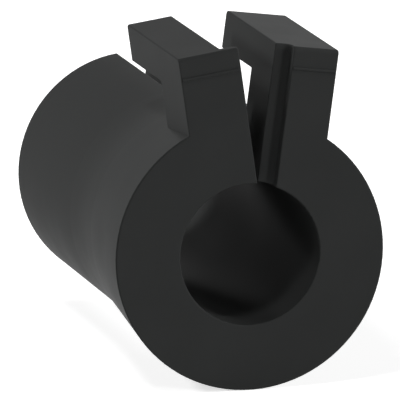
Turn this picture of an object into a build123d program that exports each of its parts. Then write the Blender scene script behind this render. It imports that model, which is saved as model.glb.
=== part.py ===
from build123d import *
import os
from math import atan2, cos, radians, sin, tan

# All lengths are millimetres. The bore runs back along +Y from the front face, and the ears stand up along +Z.

# Tube that grips the cable, widest at its front rim
bore_diameter = 10.0
wall = 3.45
rim_rise = 1.2
tube_length = 31.7
taper_length = 13.5
taper_blend = 3.4

# Slit from the bore up between the ears, stepped near the front so that a lip covers it when closed
slit_angle = 15.8
slit_offset = 0.7
lap_width = 1.1
lap_depth = 1.0
lap_clearance = 0.1

# Hooked ears, one on each side of the slit
ear_width = 3.8
ear_rise = 6.25
stem_thickness = 6.0
hook_reach = 7.7
hook_thickness = 2.7

# Raised bead across the front of each ear
bead_drop = 1.5
bead_radius = 0.12

# Rounded edges, and the chamfers at the tube's back end
edge_round = 0.1
top_round = 0.3
lap_round = 0.45
end_chamfer = 0.2

bore_radius = bore_diameter / 2
barrel_radius = bore_radius + wall
rim_radius = barrel_radius + rim_rise
taper_angle = atan2(rim_rise, taper_length)
ear_top = barrel_radius + ear_rise
hook_underside = ear_top - hook_thickness
hook_end = stem_thickness + hook_reach
lean = slit_angle / 2
lip_apex = slit_offset + lap_width / 2
rear_apex = slit_offset - lap_width / 2
lip_back = lap_depth - lap_clearance


def tube():
    """Bored tube that tapers from the front rim and flows into a straight barrel."""
    outline = Polyline(
        (bore_radius, 0),
        (rim_radius, 0),
        (barrel_radius, taper_length),
        (barrel_radius, tube_length),
        (bore_radius, tube_length),
        close=True,
    )
    section = make_face(outline)
    taper_end = section.vertices().sort_by_distance((barrel_radius, taper_length, 0))[0]
    section = fillet(taper_end, taper_blend / tan(taper_angle / 2))
    section = fillet(section.vertices().filter_by(lambda v: abs(v.Y) < 1e-6), edge_round)
    section = chamfer(section.vertices().filter_by(lambda v: abs(v.Y - tube_length) < 1e-6), end_chamfer)
    return revolve(section, axis=Axis.Y)


def ear():
    """Stem with a hook pointing back, for the right side of the slit and not yet leaning."""
    root = (bore_radius + barrel_radius) / 2
    outline = Polyline(
        (0, root),
        (0, ear_top),
        (hook_end, ear_top),
        (hook_end, hook_underside),
        (stem_thickness, hook_underside),
        (stem_thickness, root),
        close=True,
    )
    section = make_face(Plane.YZ * outline)
    section = fillet(section.vertices().filter_by(lambda v: abs(v.Z - ear_top) < 0.01), top_round)
    section = fillet(section.vertices().filter_by(lambda v: abs(v.Z - hook_underside) < 0.01), edge_round)
    block = Pos(-lap_width, 0, 0) * extrude(section, ear_width + lap_width, dir=(1, 0, 0))
    outer_side = block.faces().sort_by(Axis.X)[-1]
    outer_edges = outer_side.edges().filter_by(lambda e: e.center().Z > root + 0.01)
    return fillet(outer_edges, edge_round)


def bead(slit_face):
    """Round bar, half sunk in an ear's front, between the rounds of its upright edges."""
    length = ear_width - slit_face - 2 * edge_round
    bar = Rot(0, 90, 0) * Cylinder(bead_radius, length)
    return Pos((ear_width + slit_face) / 2, 0, ear_top - bead_drop) * bar


def on_right(shape):
    """Lean a shape outwards on the right side of the slit."""
    return Pos(slit_offset, 0, 0) * Rot(0, lean, 0) * shape


def on_left(shape):
    """Lean the mirror image of a shape outwards on the left side of the slit."""
    return Pos(slit_offset, 0, 0) * mirror(Rot(0, lean, 0) * shape, about=Plane.YZ)


def slit(left_apex, right_apex, start, end):
    """Gap that opens upwards from the bore's height, between two planes that lean apart."""
    reach = ear_top + 2
    half_width = reach * tan(radians(lean))
    corners = [(left_apex, 0, 0), (left_apex - half_width, 0, reach), (right_apex + half_width, 0, reach)]
    if right_apex > left_apex:
        corners.append((right_apex, 0, 0))
    gap = extrude(make_face(Polyline(*corners, close=True)), end - start, dir=(0, 1, 0))
    return Pos(0, start, 0) * gap


def in_slit_plane(apex, side):
    """Test for edges that lie in the slit face through an apex, on side -1 or 1."""
    def test(edge):
        points = [edge @ t for t in (0, 0.3, 0.7, 1)]
        offsets = [(p.X - apex) * cos(radians(lean)) - side * p.Z * sin(radians(lean)) for p in points]
        return max(abs(d) for d in offsets) < 1e-4
    return test


def at_depth(y):
    """Test for edges that lie at one distance behind the front face."""
    return lambda edge: max(abs((edge @ t).Y - y) for t in (0, 0.5, 1)) < 1e-4


def is_sharp(solid, edge):
    """True where the two faces beside an edge meet at an angle."""
    sides = [face for face in solid.faces() if any(edge.is_same(other) for other in face.edges())]
    first, second = (face.normal_at(edge @ 0.5) for face in sides)
    return first.dot(second) < 0.999


def soften_lap(solid):
    """Round the lip's back edge and the corner that it closes into."""
    edges = solid.edges()
    lip = edges.filter_by(in_slit_plane(lip_apex, -1)).filter_by(at_depth(lip_back))
    corner = edges.filter_by(in_slit_plane(lip_apex, 1)).filter_by(at_depth(lap_depth))
    radius = min(lap_round, 0.45 * lap_width, 0.45 * lap_depth)
    return solid.fillet(radius, list(lip) + list(corner))


def soften_slit(solid):
    """Round every edge along the slit's four faces."""
    chosen = []
    for apex in (rear_apex, lip_apex):
        for side in (-1, 1):
            for edge in solid.edges().filter_by(in_slit_plane(apex, side)):
                if is_sharp(solid, edge) and not any(edge.is_same(other) for other in chosen):
                    chosen.append(edge)
    return solid.fillet(edge_round, chosen)


body = tube() + on_right(ear()) + on_left(ear())
body -= slit(rear_apex, rear_apex, lap_depth, tube_length + 1)
body -= slit(lip_apex, lip_apex, -1, lap_depth)
body -= slit(rear_apex, lip_apex, lip_back, lap_depth)
grommet = soften_slit(soften_lap(body.solids()[0]))

lap_shift = lap_width / 2 * cos(radians(lean))
grommet = grommet + on_right(bead(lap_shift)) + on_left(bead(-lap_shift))

os.makedirs("parts", exist_ok=True)
export_step(grommet, "parts/grommet.step")
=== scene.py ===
import bmesh
import bpy
from math import cos, radians, sin
from mathutils import Matrix, Vector


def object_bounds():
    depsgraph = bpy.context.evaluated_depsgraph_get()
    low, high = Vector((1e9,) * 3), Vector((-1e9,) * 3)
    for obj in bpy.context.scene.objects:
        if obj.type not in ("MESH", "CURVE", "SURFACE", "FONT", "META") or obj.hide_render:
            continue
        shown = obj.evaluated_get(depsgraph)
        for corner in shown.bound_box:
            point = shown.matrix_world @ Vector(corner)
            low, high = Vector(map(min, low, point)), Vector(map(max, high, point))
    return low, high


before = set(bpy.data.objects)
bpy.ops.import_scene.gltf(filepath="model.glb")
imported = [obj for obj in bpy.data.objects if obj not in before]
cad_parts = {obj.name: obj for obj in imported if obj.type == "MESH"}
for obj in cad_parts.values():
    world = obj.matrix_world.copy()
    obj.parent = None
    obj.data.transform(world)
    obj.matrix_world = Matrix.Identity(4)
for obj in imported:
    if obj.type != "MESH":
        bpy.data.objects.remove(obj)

cad_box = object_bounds()
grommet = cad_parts["grommet"]
middle = (cad_box[0] + cad_box[1]) / 2
floor_height = cad_box[0].z

# Lengths are in metres, angles in degrees and colours linear.
white = (1, 1, 1, 1)

# Camera at the photo's view. Lens and sensor are in millimetres.
lens_length = 951.6
sensor_width = 36.0
camera_place = (-0.19387, -0.68997, 0.15457)
camera_turn = -15.418
camera_tilt = 78.126
camera_roll = -0.273

# Moulded rubber, a little uneven in shade and sheen where the cloud runs from thin to thick
darker_black = (0.0265, 0.0275, 0.0272, 1)
paler_black = (0.0285, 0.0295, 0.0292, 1)
rubber_ior = 1.038
smoother_sheen = 0.32
rougher_sheen = 0.37
cloud_scale = 260.0
cloud_detail = 3.0
thin_cloud = 0.3
thick_cloud = 0.7
grain_scale = 4000.0
grain_detail = 4.0
grain_strength = 0.05
grain_depth = 0.00002

# Floor and backdrop
floor_half_width = 3.0
floor_grey = (0.8, 0.8, 0.8, 1)
floor_glow = 0.6
fill_strength = 0.03
backdrop_strength = 1.0

# Soft round lamps round the grommet. Azimuth runs from behind it towards its right side.
lamp_distance = 0.9
lamp_diameter = 0.18
lamps = {
    "high lamp, front left": {"azimuth": 225, "elevation": 62, "watts": 2.2},
    "high lamp, back left": {"azimuth": 300, "elevation": 38, "watts": 3.1},
    "low lamp, back left": {"azimuth": 300, "elevation": 15, "watts": 3.9},
    "low lamp, right": {"azimuth": 90, "elevation": 15, "watts": 6.5},
    "low lamp, right of the front": {"azimuth": 120, "elevation": 15, "watts": 2.7},
    "low lamp, front right": {"azimuth": 150, "elevation": 15, "watts": 2.7},
}


def camera_at_the_photo_view():
    """Long lens from the front left, a little above the bore."""
    camera = bpy.data.objects.new("camera", bpy.data.cameras.new("camera"))
    camera.data.sensor_width = sensor_width
    camera.data.lens = lens_length
    turn = Matrix.Rotation(radians(camera_turn), 4, "Z")
    tilt = Matrix.Rotation(radians(camera_tilt), 4, "X")
    roll = Matrix.Rotation(radians(camera_roll), 4, "Z")
    camera.rotation_euler = (turn @ tilt @ roll).to_euler()
    camera.location = camera_place
    bpy.context.scene.collection.objects.link(camera)
    bpy.context.scene.camera = camera


def noise(nodes, links, place, scale, detail):
    """Noise that sits still on the piece."""
    pattern = nodes.new("ShaderNodeTexNoise")
    pattern.inputs["Scale"].default_value = scale
    pattern.inputs["Detail"].default_value = detail
    links.new(place.outputs["Object"], pattern.inputs["Vector"])
    return pattern.outputs["Fac"]


def moulded_rubber():
    """Matt black rubber with a faint moulded grain and a soft sheen at flat angles."""
    rubber = bpy.data.materials.new("moulded rubber")
    rubber.use_nodes = True
    nodes, links = rubber.node_tree.nodes, rubber.node_tree.links
    shader = nodes["Principled BSDF"]
    shader.inputs["IOR"].default_value = rubber_ior
    place = nodes.new("ShaderNodeTexCoord")

    cloud = noise(nodes, links, place, cloud_scale, cloud_detail)
    black = nodes.new("ShaderNodeValToRGB")
    black.color_ramp.elements[0].position = thin_cloud
    black.color_ramp.elements[0].color = darker_black
    black.color_ramp.elements[1].position = thick_cloud
    black.color_ramp.elements[1].color = paler_black
    links.new(cloud, black.inputs["Fac"])
    links.new(black.outputs["Color"], shader.inputs["Base Color"])

    sheen = nodes.new("ShaderNodeMapRange")
    sheen.inputs["From Min"].default_value = thin_cloud
    sheen.inputs["From Max"].default_value = thick_cloud
    sheen.inputs["To Min"].default_value = smoother_sheen
    sheen.inputs["To Max"].default_value = rougher_sheen
    links.new(cloud, sheen.inputs["Value"])
    links.new(sheen.outputs["Result"], shader.inputs["Roughness"])

    bump = nodes.new("ShaderNodeBump")
    bump.inputs["Strength"].default_value = grain_strength
    bump.inputs["Distance"].default_value = grain_depth
    links.new(noise(nodes, links, place, grain_scale, grain_detail), bump.inputs["Height"])
    links.new(bump.outputs["Normal"], shader.inputs["Normal"])
    return rubber


def either(nodes, links, first, second):
    """Socket that is 1 where one of two ray types is hit."""
    larger = nodes.new("ShaderNodeMath")
    larger.operation = "MAXIMUM"
    links.new(first, larger.inputs[0])
    links.new(second, larger.inputs[1])
    return larger.outputs["Value"]


def mirror_or_glass(nodes, links, ray):
    """Socket that is 1 for what a glossy or clear surface shows."""
    return either(nodes, links, ray.outputs["Is Glossy Ray"], ray.outputs["Is Transmission Ray"])


def floor_paint():
    """Pale paint that takes a shadow and is white to the lens and to mirrors."""
    paint = bpy.data.materials.new("floor paint")
    paint.use_nodes = True
    nodes, links = paint.node_tree.nodes, paint.node_tree.links
    shader = nodes["Principled BSDF"]
    shader.inputs["Base Color"].default_value = floor_grey
    shader.inputs["Roughness"].default_value = 1.0
    shader.inputs["Specular IOR Level"].default_value = 0.0
    shader.inputs["Emission Color"].default_value = white
    ray = nodes.new("ShaderNodeLightPath")
    glow = nodes.new("ShaderNodeMath")
    glow.operation = "MULTIPLY"
    glow.inputs[1].default_value = floor_glow
    links.new(ray.outputs["Is Camera Ray"], glow.inputs[0])
    links.new(glow.outputs["Value"], shader.inputs["Emission Strength"])
    mirrored = nodes.new("ShaderNodeEmission")
    choice = nodes.new("ShaderNodeMixShader")
    links.new(mirror_or_glass(nodes, links, ray), choice.inputs["Fac"])
    links.new(shader.outputs["BSDF"], choice.inputs[1])
    links.new(mirrored.outputs["Emission"], choice.inputs[2])
    links.new(choice.outputs["Shader"], nodes["Material Output"].inputs["Surface"])
    return paint


def pale_floor():
    """Wide floor at the grommet's lowest point."""
    mesh = bpy.data.meshes.new("floor")
    slab = bmesh.new()
    bmesh.ops.create_grid(slab, x_segments=1, y_segments=1, size=floor_half_width)
    bmesh.ops.translate(slab, verts=slab.verts, vec=Vector((0, 0, floor_height)))
    slab.to_mesh(mesh)
    slab.free()
    mesh.materials.append(floor_paint())
    floor = bpy.data.objects.new("floor", mesh)
    bpy.context.scene.collection.objects.link(floor)


def white_studio():
    """Even fill light, with a backdrop that is white to the lens and to mirrors."""
    world = bpy.data.worlds.new("studio")
    bpy.context.scene.world = world
    world.use_nodes = True
    nodes, links = world.node_tree.nodes, world.node_tree.links
    fill = nodes["Background"]
    fill.inputs["Color"].default_value = white
    fill.inputs["Strength"].default_value = fill_strength
    backdrop = nodes.new("ShaderNodeBackground")
    backdrop.inputs["Color"].default_value = white
    backdrop.inputs["Strength"].default_value = backdrop_strength
    ray = nodes.new("ShaderNodeLightPath")
    seen = either(nodes, links, ray.outputs["Is Camera Ray"], mirror_or_glass(nodes, links, ray))
    choice = nodes.new("ShaderNodeMixShader")
    links.new(seen, choice.inputs["Fac"])
    links.new(fill.outputs["Background"], choice.inputs[1])
    links.new(backdrop.outputs["Background"], choice.inputs[2])
    links.new(choice.outputs["Shader"], nodes["World Output"].inputs["Surface"])


def soft_lamp(name, azimuth, elevation, watts):
    """Round lamp that faces the grommet and isn't mirrored in it."""
    light = bpy.data.lights.new(name, "AREA")
    light.shape = "DISK"
    light.size = lamp_diameter
    light.energy = watts
    lamp = bpy.data.objects.new(name, light)
    around, up = radians(azimuth), radians(elevation)
    away = Vector((sin(around) * cos(up), cos(around) * cos(up), sin(up)))
    lamp.location = middle + away * lamp_distance
    lamp.rotation_euler = away.to_track_quat("Z", "Y").to_euler()
    lamp.visible_camera = False
    lamp.visible_glossy = False
    bpy.context.scene.collection.objects.link(lamp)


camera_at_the_photo_view()
rubber = moulded_rubber()
for slot in grommet.material_slots:
    slot.material = rubber
pale_floor()
white_studio()
for name, settings in lamps.items():
    soft_lamp(name, **settings)
bpy.context.scene.view_settings.view_transform = "Standard"
